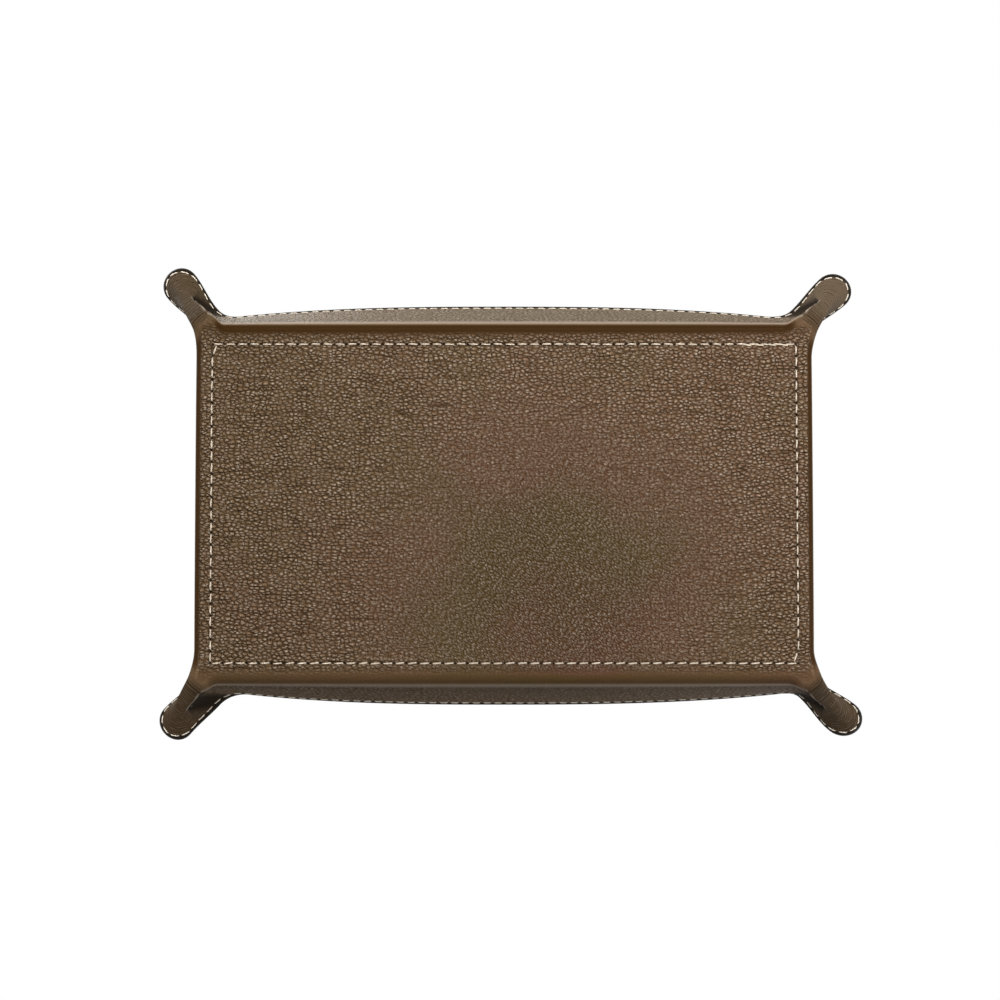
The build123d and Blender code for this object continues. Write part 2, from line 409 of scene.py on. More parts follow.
def floor_fill(edge, first, height):
    """Faces and extra points (x, y, z, way in from the edge) that fill the flat floor inside its edge,
    whose points come first: a grid in the middle and a border that closes up to the edge."""
    count = len(edge)
    starts = range(0, count, count // len(CORNERS))
    front = [(count - LONG_STEPS + i) % count for i in range(2 * LONG_STEPS + 1)]
    right = [starts[1] - SHORT_STEPS + i for i in range(2 * SHORT_STEPS + 1)]
    back = [starts[2] - LONG_STEPS + i for i in range(2 * LONG_STEPS + 1)][::-1]
    left = [starts[3] - SHORT_STEPS + i for i in range(2 * SHORT_STEPS + 1)][::-1]
    xs = [edge[i][0] for i in front]
    ys = [edge[i][1] for i in right]
    last_column, last_row = len(xs) - 1, len(ys) - 1
    extra, grid = [], {}
    for row, y in enumerate(ys):
        for column, x in enumerate(xs):
            grid[(column, row)] = first + len(extra)
            extra.append((x, y, height, min(HALF_LENGTH - abs(x), HALF_WIDTH - abs(y))))
    faces = []
    for row in range(last_row):
        for column in range(last_column):
            faces.append((grid[(column, row)], grid[(column + 1, row)],
                          grid[(column + 1, row + 1)], grid[(column, row + 1)]))
    inner = {}
    for column in range(last_column + 1):
        inner[front[column]], inner[back[column]] = (column, 0), (column, last_row)
    for row in range(last_row + 1):
        inner[right[row]], inner[left[row]] = (last_column, row), (0, row)
    spots, spot = [], inner[front[0]]
    for index in range(count):
        spot = inner.get(index, spot)
        spots.append(spot)
    ranks = [range(count)]
    for share in BORDER_SHARES:
        ranks.append([first + len(extra) + index for index in range(count)])
        for (x, y, *_), (column, row) in zip(edge, spots):
            step_x, step_y = (xs[column] - x) * share, (ys[row] - y) * share
            extra.append((x + step_x, y + step_y, height, math.hypot(step_x, step_y)))
    ranks.append([grid[spot] for spot in spots])
    for outer, within in zip(ranks, ranks[1:]):
        for index in range(count):
            following = (index + 1) % count
            face = (outer[index], outer[following], within[following], within[index])
            faces.append(face if within[index] != within[following] else face[:3])
    return extra, faces


def ear_angles(rim):
    """For each point of the rim, the direction in which the flat sheet runs out from the base there."""
    count = len(rim)
    angles = []
    quarter_size = count // len(CORNERS)
    for corner, (_, sign_x, sign_y, *_) in enumerate(CORNERS):
        start = corner * quarter_size
        forward = sign_x * sign_y < 0
        lead, tail = (LONG_STEPS, SHORT_STEPS) if forward else (SHORT_STEPS, LONG_STEPS)
        lengths = [0.0]
        for step in range(lead, quarter_size - tail):
            a, b = rim[start + step], rim[(start + step + 1) % count]
            lengths.append(lengths[-1] + math.dist(a[:3], b[:3]))
        for step in range(quarter_size):
            share = lengths[min(max(step - lead, 0), len(lengths) - 1)] / lengths[-1]
            angle = math.radians(90 * (1 - share) if forward else 90 * share)
            angles.append((sign_x * math.cos(angle), sign_y * math.sin(angle)))
    return angles


def pinch_of(corner):
    """The point at the pinch of an ear, on the ridge, from which its wrinkles spread."""
    sign_x, sign_y = corner[1:3]
    x, y = ear_place(PINCH_REACH, 0, corner, 1)
    height = (PINCH_REACH - EAR_START) / (EAR_REACH - EAR_START) * WALL_HEIGHT
    return sign_x * x, sign_y * y, height


def corner_pull(x, y):
    """How smooth the leather is pulled where a corner of the base runs into its ear."""
    return rising(abs(x) + abs(y), CORNER_PULLED) * (BACK_CORNER_PULL if y > 0 else FRONT_CORNER_PULL)


def wall_marks(x, y, run, reach, runs_on):
    """Pull, fold and painted highlight at a run up a wall or an ear, from the place (x, y) where it
    leaves the base. The fold is darker leather with painted shade."""
    short = HALF_LENGTH - abs(x) < HALF_WIDTH - abs(y)
    begun = rising(run, SHORT_ROLL_BEGINS) if short else 1.0
    pull = max(ROLL_PULL * begun, corner_pull(x, y)) * falling(run, PULL_FADES)
    fold = begun * falling(run, SHORT_BAND_ENDS if short else LONG_BAND_ENDS) * falling(reach, BAND_STOPS)
    fold *= BACK_BAND_SHARE if y > 0 and not short else 1.0
    on_wall = falling(reach, WALL_STOPS)
    ends = [ear + on_wall * (wall - ear) for ear, wall in zip(HIGHLIGHT_ENDS_ON_EAR, HIGHLIGHT_ENDS_ON_WALL)]
    # The line is a painted highlight along the top of the roll, running on up each ear's ridge edge
    line = (WALL_HIGHLIGHT if on_wall else EAR_HIGHLIGHT) * rising(run, HIGHLIGHT_BEGINS) * falling(run, ends)
    return max(pull, rising(reach, PULLED_REACH)), fold, line * (on_wall if short else runs_on)


def floor_marks(x, y, inwards):
    """Pull and fold at a place on the floor, and its way in from the edge."""
    at_back, at_front = rising(y, BACK_BORDER), rising(-y, FRONT_BORDER)
    by_long_wall = 1.0 if HALF_WIDTH - abs(y) < HALF_LENGTH - abs(x) else 0.0
    pull = max(BACK_BORDER_PULL * at_back, FRONT_BORDER_PULL * at_front, corner_pull(x, y),
               ROLL_PULL * by_long_wall * falling(inwards, BORDER_PULL_FADES))
    band = by_long_wall * rising(HALF_LENGTH - abs(x), BAND_BEGINS) * (BACK_BAND_SHARE if y > 0 else 1.0)
    # The fold darkens the borders and the band by the edge: darker leather with painted shade
    fold = max(BACK_BORDER_DARK * at_back, FRONT_BORDER_DARK * at_front,
               band * falling(inwards, BORDER_BAND_FADES))
    return pull, fold


def surface(rows, height):
    """One face of a skin, floor and walls: its points, their faces, what each point keeps for the
    leather, and how many points its rim has and how many rings."""
    rings = [ring(share, inset) for share, inset in rows]
    base, rim = rings[0], rings[-1]
    count = len(base)
    points = [point[:3] for path in rings for point in path]
    ways = ear_angles(rim)
    pinches = [pinch_of(corner) for corner in CORNERS]
    runs = [[0.0] * count]
    for lower, upper in zip(rings, rings[1:]):
        runs.append([before + math.dist(p[:3], q[:3]) for before, p, q in zip(runs[-1], lower, upper)])
    marks = []
    for up, path in zip(runs, rings):
        for index, (x, y, z, reach, wear, shade, runs_on) in enumerate(path):
            base_x, base_y = base[index][:2]
            run, (way_x, way_y) = up[index], ways[index]
            away = math.dist((x, y, z), pinches[index * len(CORNERS) // count])
            beyond = rising(reach, PINCH_PASSED)
            spread = beyond * away * WRINKLE_SHARE + (1 - beyond) * (reach - PINCH_REACH)
            pull, fold, line = wall_marks(base_x, base_y, run, reach, runs_on)
            marks.append(((base_x + run * way_x, base_y + run * way_y, spread), pull, fold,
                          max(wear, line), shade, runs[-1][index] - run, rising(reach, CURLED_REACH)))
    extra, fill = floor_fill(base, len(points), height)
    for x, y, _, inwards in extra:
        points.append((x, y, height))
        marks.append(((x, y, 0), *floor_marks(x, y, inwards), 0.0, 0.0, WALL_HEIGHT, 0.0))
    walls = [(a, d, c, b) for a, b, c, d in band_faces(0, len(rings), count)]
    return points, walls + fill, marks, count, len(rings)


def new_piece(name, points, faces, cad_node, material):
    """A mesh piece of the tray, from points in millimetres, that stands for a CAD node where it is
    given one."""
    mesh = bpy.data.meshes.new(name)
    mesh.from_pydata([(x * MM, y * MM, z * MM) for x, y, z in points], [], faces)
    mesh.validate()
    for polygon in mesh.polygons:
        polygon.use_smooth = True
    piece = bpy.data.objects.new(name, mesh)
    bpy.context.scene.collection.objects.link(piece)
    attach(piece, "root")
    if cad_node:
        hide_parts(cad_node)
    mesh.materials.append(material)
    return piece


def store(piece, marks):
    """Keep with each point of a skin what its leather needs, lengths in metres."""
    for name, values in zip(MARKS, zip(*marks)):
        if name == "hide_place":
            kept = piece.data.attributes.new(name, "FLOAT_VECTOR", "POINT")
            kept.data.foreach_set("vector", [part * MM for place in values for part in place])
        else:
            kept = piece.data.attributes.new(name, "FLOAT", "POINT")
            unit = MM if name == "hide_drop" else 1
            kept.data.foreach_set("value", [value * unit for value in values])


def skin(name, cad_node, material, outside, inside, heights):
    """One layer of leather as a closed skin: an outer face, an inner face and the cut edge between."""
    points, outer_faces, marks, count, tall = surface(outside, heights[0])
    more, inner_faces, inner_marks, _, inner_tall = surface(inside, heights[1])
    base = len(points)
    faces = [face[::-1] for face in outer_faces]
    faces += [tuple(base + i for i in face) for face in inner_faces]
    top, inner_top = (tall - 1) * count, base + (inner_tall - 1) * count
    for index in range(count):
        following = (index + 1) % count
        faces.append((top + index, top + following, inner_top + following, inner_top + index))
    piece = new_piece(name, points + more, faces, cad_node, material)
    store(piece, marks + inner_marks)


def painted_rim(material):
    """The bead of edge paint over the cut edges of the leather and the lining, all round the rim."""
    points = []
    for inset, up in PAINT_SECTION:
        path = ring(1.0 + min(up, 0) / WALL_HEIGHT, inset)
        points += [(x, y, z + max(up, 0)) for x, y, z, *_ in path]
    rows = len(PAINT_SECTION)
    faces = band_faces(0, rows, len(points) // rows, closed=True)
    new_piece("rim_edge_paint", points, faces, "painted_edge", material)


def corner_tack(corner, material):
    """A short bar of thread across the inside of a pinch, with a small knot lying on each side."""
    name, sign_x, sign_y = corner[:3]
    half = curve_through(EAR_LEVELS, TACK_HEIGHT / WALL_HEIGHT, 1) * WAIST_WIDEST
    rows = [(-half + place, radius) for place, radius in KNOT_PROFILE]
    rows += [(-place, radius) for place, radius in reversed(rows)]
    points = []
    for across, radius in rows:
        for side in range(TACK_SIDES):
            angle = 2 * math.pi * side / TACK_SIDES
            x, y = ear_place(PINCH_REACH + radius * math.cos(angle), across, corner, 1)
            points.append((sign_x * x, sign_y * y, TACK_HEIGHT + radius * math.sin(angle)))
    faces = band_faces(0, len(rows), TACK_SIDES)
    if sign_x * sign_y < 0:
        faces = [face[::-1] for face in faces]
    new_piece(name + "_pinch_thread", points, faces, name + "_corner_tack", material)


def stitch_mesh(points, faces, middle, along, out, length):
    """One stitch of two-ply thread: it rises out of one needle hole and dives into the next."""
    blunt, thinnest = 5, 0.02
    rise, dive = 0.35, 1.6
    ply_depth, ply_twist, flatness = 0.13, 14, 0.8
    across = along.cross(out)
    first = len(points)
    for row in range(STITCH_RINGS):
        t = row / (STITCH_RINGS - 1)
        swing = 2 * t - 1
        thick = THREAD * math.sqrt(max(1 - abs(swing) ** blunt, thinnest))
        up = THREAD * (rise - dive * abs(swing) ** blunt)
        for side in range(STITCH_SIDES):
            angle = 2 * math.pi * side / STITCH_SIDES
            radius = thick * (1 + ply_depth * math.cos(2 * angle - ply_twist * t))
            spot = (middle + along * (length * swing / 2) + across * (radius * math.cos(angle))
                    + out * (up + flatness * radius * math.sin(angle)))
            points.append(tuple(spot))
    last = len(points) - STITCH_SIDES
    faces += band_faces(first, STITCH_RINGS, STITCH_SIDES)
    faces.append(tuple(first + side for side in range(STITCH_SIDES)))
    faces.append(tuple(last + side for side in reversed(range(STITCH_SIDES))))


def base_seam(height, out):
    """The base seam's stitches, each with its middle, direction, outward direction and slant."""
    length = BASE_LENGTH - 2 * END_SEAM
    width = BASE_WIDTH - 2 * SIDE_SEAM
    along, across = round(length / PITCH), round(width / SIDE_PITCH)
    way_x, way_y = Vector((1, 0, 0)), Vector((0, 1, 0))
    facing = -out.z
    places = []
    for side, slant in ((-1, FRONT_SLANT), (1, BACK_SLANT)):
        for count in range(along):
            x = ((count + 0.5) / along - 0.5) * length
            places.append((Vector((x, side * width / 2, height)), way_x, out, slant * facing))
    for side in (-1, 1):
        for count in range(across):
            askew = (side, count) in ((-1, 0), (1, across - 1))
            x = side * (length / 2 - (ASKEW_INSET if askew else 0.0))
            y = ((count + 0.5) / across - 0.5) * width
            slant = ASKEW_SLANT if askew else SIDE_SLANT
            places.append((Vector((x, y, height)), way_y, out, slant * facing))
    for count in range(BACK_STITCHES):
        x = length / 2 - (count + 1) * length / along
        y = -width / 2 + BACK_STITCH_OFFSET
        places.append((Vector((x, y, height)), way_x, out, BACK_STITCH_SLANT * facing))
    return places


def rim_seam(inset, facing):
    """The places of the rim seam's stitches, a fixed way below the rim, on one face of the walls."""
    below_rim_share = 0.9
    path, downs = [], []
    for a, b in zip(ring(1.0, inset), ring(below_rim_share, inset)):
        top, foot = Vector(a[:3]), Vector(b[:3])
        down = (foot - top).normalized()
        path.append(top + down * RIM_SEAM)
        downs.append(down)
    count = len(path)
    lengths = [0.0]
    for index in range(count):
        lengths.append(lengths[-1] + (path[(index + 1) % count] - path[index]).length)
    number = round(lengths[-1] / PITCH)
    places = []
    index = 0
    for stitch in range(number):
        target = (stitch + 0.5) / number * lengths[-1]
        while lengths[index + 1] < target:
            index += 1
        following = (index + 1) % count
        blend = (target - lengths[index]) / (lengths[index + 1] - lengths[index])
        spot = path[index].lerp(path[following], blend)
        along = (path[following] - path[index]).normalized()
        out = downs[index].cross(along).normalized() * facing
        places.append((spot, along, out, RIM_SLANT * facing))
    return places


def seam(name, cad_node, places, material):
    """A run of stitches, each a little uneven, as one piece of thread."""
    points, faces = [], []
    for spot, along, out, slant in places:
        turn = math.radians(slant + rng.uniform(-TURN_SPREAD, TURN_SPREAD))
        across = along.cross(out)
        way = (along * math.cos(turn) + across * math.sin(turn)).normalized()
        spot = spot + across * rng.uniform(-SIDE_SPREAD, SIDE_SPREAD)
        length = STITCH + rng.uniform(-LENGTH_SPREAD, LENGTH_SPREAD)
        stitch_mesh(points, faces, spot, way, out, length)
    new_piece(name, points, faces, cad_node, material)


def node(tree, kind, **values):
    """A shader node with its plain settings and unlinked inputs."""
    made = tree.nodes.new(kind)
    for key, value in values.items():
        if hasattr(made, key) and key not in made.inputs:
            setattr(made, key, value)
        else:
            made.inputs[key].default_value = value
    return made


def feed(tree, socket, value):
    """Give an input its value: another node's socket, or what is set on the input itself."""
    if isinstance(value, bpy.types.NodeSocket):
        tree.links.new(value, socket)
    else:
        socket.default_value = value


def math_node(tree, kind, first, second=0.0):
    """A Math node with two inputs, each a socket or a number."""
    made = node(tree, "ShaderNodeMath", operation=kind)
    for socket, value in zip(made.inputs, (first, second)):
        feed(tree, socket, value)
    return made.outputs[0]


def plus(tree, first, second):
    """The sum of two values."""
    return math_node(tree, "ADD", first, second)


def minus(tree, first, second):
    """The first value less the second."""
    return math_node(tree, "SUBTRACT", first, second)


def times(tree, first, second):
    """The product of two values."""
    return math_node(tree, "MULTIPLY", first, second)


def most(tree, first, second):
    """The larger of two values."""
    return math_node(tree, "MAXIMUM", first, second)


def distance(tree, first, second):
    """How far a place is from another, from its ways along and across."""
    return math_node(tree, "SQRT", plus(tree, times(tree, first, first), times(tree, second, second)))


def vector_node(tree, kind, *values):
    """A Vector Math node with its inputs, each a socket or three numbers."""
    made = node(tree, "ShaderNodeVectorMath", operation=kind)
    for socket, value in zip(made.inputs, values):
        feed(tree, socket, value)
    return made.outputs[0]


def noise(tree, place, scale, detail, **values):
    """A noise over places in metres, with its outputs."""
    made = node(tree, "ShaderNodeTexNoise", Scale=scale, Detail=detail, **values)
    tree.links.new(place, made.inputs["Vector"])
    return made.outputs


def remap(tree, value, low, high, out_low=0.0, out_high=1.0):
    """A soft step of a value from one range to another."""
    made = node(tree, "ShaderNodeMapRange", interpolation_type="SMOOTHSTEP")
    numbers = {"Value": value, "From Min": low, "From Max": high, "To Min": out_low, "To Max": out_high}
    for key, number in numbers.items():
        feed(tree, made.inputs[key], number)
    return made.outputs["Result"]


def blend_colours(tree, factor, first, second):
    """A mix of two colours, each a socket or three numbers, by a factor."""
    made = node(tree, "ShaderNodeMix", data_type="RGBA")
    feed(tree, made.inputs[0], factor)
    for socket, value in ((made.inputs[6], first), (made.inputs[7], second)):
        feed(tree, socket, (*value, 1) if isinstance(value, tuple) else value)
    return made.outputs[2]


def cover(tree, under, mask, share, colour):
    """A colour laid over another where a mask is, as thickly as a share says."""
    return blend_colours(tree, times(tree, mask, share), under, colour)


def new_group(name, inputs, outputs):
    """An empty node group with named inputs and outputs, and its two end nodes."""
    tree = bpy.data.node_groups.new(name, "ShaderNodeTree")
    for label, kind, value in inputs:
        socket = tree.interface.new_socket(name=label, in_out="INPUT", socket_type=kind)
        if value is not None:
            socket.default_value = value
    for label in outputs:
        tree.interface.new_socket(name=label, in_out="OUTPUT", socket_type="NodeSocketFloat")
    return tree, tree.nodes.new("NodeGroupInput").outputs, tree.nodes.new("NodeGroupOutput").inputs


def grain_cells(tree, place, length, width):
    """Cells of one size of grain: how round and raised they are, the grooves between them and the spots
    on their tops, where a painted highlight goes."""
    size = node(tree, "ShaderNodeCombineXYZ")
    for axis, value in (("X", length), ("Y", width)):
        feed(tree, size.inputs[axis], math_node(tree, "DIVIDE", 1.0, value))
    scaled = vector_node(tree, "MULTIPLY", place, size.outputs[0])
    dome, split = (node(tree, "ShaderNodeTexVoronoi", voronoi_dimensions="2D", feature=feature,
                        Scale=1.0, Randomness=1.0) for feature in ("F1", "DISTANCE_TO_EDGE"))
    for cells in (dome, split):
        feed(tree, cells.inputs["Vector"], scaled)
    groove = remap(tree, split.outputs["Distance"], 0.0, 0.16, 1.0, 0.0)
    rounded = remap(tree, dome.outputs["Distance"], 0.0, 0.8, 1.0, 0.0)
    top = remap(tree, dome.outputs["Distance"], 0.10, 0.46, 1.0, 0.0)
    own = node(tree, "ShaderNodeSeparateColor")
    feed(tree, own.inputs[0], dome.outputs["Color"])
    spot = times(tree, top, remap(tree, own.outputs[0], 0.0, 1.0, 0.25, 1.0))
    return minus(tree, rounded, times(tree, groove, 0.6)), groove, spot


def long_wrinkles(tree, place, patch, coarse):
    """Long shallow wrinkles along the hide where its grain is coarse, deeper in some patches."""
    spacing = 2.6 * MM
    bending = noise(tree, vector_node(tree, "MULTIPLY", place, (0.30, 1.0, 0.0)), 210.0, 1.0)["Fac"]
    parts = node(tree, "ShaderNodeSeparateXYZ")
    feed(tree, parts.inputs[0], place)
    phase = plus(tree, times(tree, parts.outputs["Y"], 2 * math.pi / spacing), times(tree, bending, 15.0))
    line = remap(tree, math_node(tree, "SINE", phase), 0.78, 0.99)
    return times(tree, line, times(tree, coarse, remap(tree, patch, 0.35, 0.60, 0.62, 0.20)))


def pebble_group():
    """Pebbled hide: rounded grains between creases, coarse or fine, with long shallow wrinkles."""
    tree, entry, leave = new_group(
        "pebbled_hide",
        [("Place", "NodeSocketVector", None), ("Grain Length", "NodeSocketFloat", 1.52 * MM),
         ("Grain Width", "NodeSocketFloat", 0.96 * MM), ("Fine", "NodeSocketFloat", 0.0),
         ("Stretch", "NodeSocketFloat", 0.0)],
        ["Height", "Crease", "Spot"])
    fine_slant = math.radians(-38)
    fine_length_share, fine_width_share = 0.85, 0.50
    fine_shares = (0.80, 1.10, 1.00)
    patch_share, least_held = 0.25, 0.06
    wrinkle_depth, wrinkle_dims, pore_depth = 0.7, 0.8, 0.9
    place = vector_node(tree, "MULTIPLY", entry["Place"], (1, 1, 0))
    drift = noise(tree, place, 260.0, 2.0, Roughness=0.6)["Color"]
    centred = vector_node(tree, "SUBTRACT", drift, (0.5, 0.5, 0.5))
    pushed = vector_node(tree, "MULTIPLY_ADD", centred, (1.7 * MM, 1.3 * MM, 0.0), place)
    slanted = node(tree, "ShaderNodeVectorRotate", rotation_type="Z_AXIS", Angle=fine_slant)
    feed(tree, slanted.inputs["Vector"], pushed)
    coarse_cells = grain_cells(tree, pushed, entry["Grain Length"], entry["Grain Width"])
    fine_cells = grain_cells(tree, slanted.outputs[0],
                             times(tree, entry["Grain Length"], fine_length_share),
                             times(tree, entry["Grain Width"], fine_width_share))
    patch = noise(tree, place, 150.0, 1.0)["Fac"]
    fine = most(tree, entry["Fine"], times(tree, remap(tree, patch, 0.40, 0.65), patch_share))
    coarse = minus(tree, 1.0, fine)
    height, crease, spot = (
        plus(tree, times(tree, large, coarse), times(tree, small, times(tree, fine, share)))
        for large, small, share in zip(coarse_cells, fine_cells, fine_shares))
    wrinkle = long_wrinkles(tree, place, patch, coarse)
    pores = noise(tree, place, 1500.0, 2.0)["Fac"]
    height = minus(tree, height, times(tree, wrinkle, wrinkle_depth))
    height = plus(tree, height, times(tree, pores, pore_depth))
    spot = minus(tree, spot, times(tree, wrinkle, wrinkle_dims))
    spot = times(tree, spot, remap(tree, pores, 0.36, 0.64, 0.25, 1.35))
    held = remap(tree, entry["Stretch"], 0.0, 1.0, 1.0, least_held)
    for label, value in (("Height", height), ("Crease", most(tree, crease, wrinkle)),
                         ("Spot", most(tree, spot, 0.0))):
        feed(tree, leave[label], times(tree, value, held))
    return tree


def seam_group():
    """Where the seams press the leather down, and the needle holes of the base's seam."""
    tree, entry, leave = new_group(
        "seam_press",
        [("Place", "NodeSocketVector", None), ("Drop", "NodeSocketFloat", 1.0)],
        ["Press", "Hole"])
    hole_from, hole_to = 0.12 * MM, 0.44 * MM
    press_from, press_to = 0.2 * MM, 1.0 * MM
    parts = node(tree, "ShaderNodeSeparateXYZ")
    feed(tree, parts.inputs[0], entry["Place"])
    beyond, gaps = [], []
    for axis, half, pitch in (("X", HALF_LENGTH - END_SEAM, PITCH),
                              ("Y", HALF_WIDTH - SIDE_SEAM, SIDE_PITCH)):
        exact = 2 * half / round(2 * half / pitch) * MM
        away = math_node(tree, "ABSOLUTE", parts.outputs[axis])
        beyond.append(minus(tree, away, half * MM))
        steps = math_node(tree, "DIVIDE", plus(tree, parts.outputs[axis], half * MM), exact)
        nearest = minus(tree, steps, math_node(tree, "ROUND", steps))
        gaps.append(times(tree, math_node(tree, "ABSOLUTE", nearest), exact))
    from_line = math_node(tree, "ABSOLUTE", most(tree, *beyond))
    on_long = math_node(tree, "GREATER_THAN", beyond[1], beyond[0])
    along = plus(tree, times(tree, on_long, gaps[0]), times(tree, minus(tree, 1.0, on_long), gaps[1]))
    hole = remap(tree, distance(tree, along, from_line), hole_from, hole_to, 1.0, 0.0)
    from_rim_seam = math_node(tree, "ABSOLUTE", minus(tree, entry["Drop"], RIM_SEAM * MM))
    nearer = math_node(tree, "MINIMUM", from_line, from_rim_seam)
    feed(tree, leave["Hole"], hole)
    feed(tree, leave["Press"], remap(tree, nearer, press_from, press_to, 1.0, 0.0))
    return tree


def new_material(name, **sockets):
    """A material with its Principled shader and the constants set on its own sockets."""
    material = bpy.data.materials.new(name)
    material.use_nodes = True
    tree = material.node_tree
    shader = tree.nodes["Principled BSDF"]
    for key, value in sockets.items():
        shader.inputs[key.replace("_", " ")].default_value = value
    return material, tree, shader


def hide_input(tree, name, output="Fac"):
    """One of the values that each point of a skin keeps, as a socket."""
    return node(tree, "ShaderNodeAttribute", attribute_name=name).outputs[output]


def pressed_by(tree, press, place):
    """Where the seams press this leather, and where they pierce it."""
    seams = node(tree, "ShaderNodeGroup", node_tree=press)
    feed(tree, seams.inputs["Place"], place)
    feed(tree, seams.inputs["Drop"], hide_input(tree, "hide_drop"))
    return seams.outputs["Press"], seams.outputs["Hole"]


def add_bump(tree, shader, height, depth):
    """Let a height in the material tilt the surface, down to a depth in metres."""
    bump = node(tree, "ShaderNodeBump", Distance=depth)
    feed(tree, bump.inputs["Height"], height)
    feed(tree, shader.inputs["Normal"], bump.outputs["Normal"])


def fine_grain(tree, place, parts):
    """Where the hide's grain is fine: round a place on the base, with an uneven edge."""
    middle_x, middle_y = 16 * MM, 26 * MM
    unevenness, fine_within, coarse_beyond = 30 * MM, 22 * MM, 100 * MM
    from_middle = distance(tree, minus(tree, parts["X"], middle_x), minus(tree, parts["Y"], middle_y))
    uneven = times(tree, noise(tree, place, 38.0, 1.0)["Fac"], unevenness)
    return remap(tree, plus(tree, from_middle, uneven), fine_within, coarse_beyond, 1.0, 0.0)


def ear_ripples(tree, place, parts, curl):
    """Fine wrinkles that spread from the pinch of each ear, as tops above zero and hollows below."""
    drift = noise(tree, place, 170.0, 2.0)["Fac"]
    waves = []
    for spacing, wander, strength in ((1.20 * MM, 6.5, 1.0), (1.9 * MM, 8.0, 0.45)):
        phase = plus(tree, times(tree, parts["Z"], 2 * math.pi / spacing), times(tree, drift, wander))
        waves.append(times(tree, math_node(tree, "SINE", phase), strength))
    gather = remap(tree, noise(tree, place, 330.0, 2.0)["Fac"], 0.36, 0.64)
    return times(tree, plus(tree, *waves), times(tree, curl, gather))


def hide_colour(tree, place, parts, fine, behind):
    """The hide's brown: greenish or reddish where its grain is fine, with a painted sheen that makes the
    front wall paler and painted shade that makes the back one darker."""
    coarse_brown, greenish, reddish = (0.190, 0.120, 0.068), (0.152, 0.102, 0.046), (0.180, 0.092, 0.056)
    front_sheen, back_wall_shade = (0.172, 0.142, 0.098), (0.076, 0.047, 0.024)
    redder_per_metre = 0.9
    redder = plus(tree, noise(tree, place, 20.0, 1.0)["Fac"], times(tree, parts["X"], redder_per_metre))
    soft = blend_colours(tree, remap(tree, redder, 0.39, 0.63), greenish, reddish)
    colour = blend_colours(tree, remap(tree, fine, 0.0, 1.0, 0.30, 0.95), coarse_brown, soft)
    # A painted sheen on the front wall and painted shade on the back wall
    front = remap(tree, parts["Y"], -(HALF_WIDTH + 6) * MM, -(HALF_WIDTH + 1) * MM, 0.62, 0.0)
    return blend_colours(tree, behind, blend_colours(tree, front, colour, front_sheen), back_wall_shade)


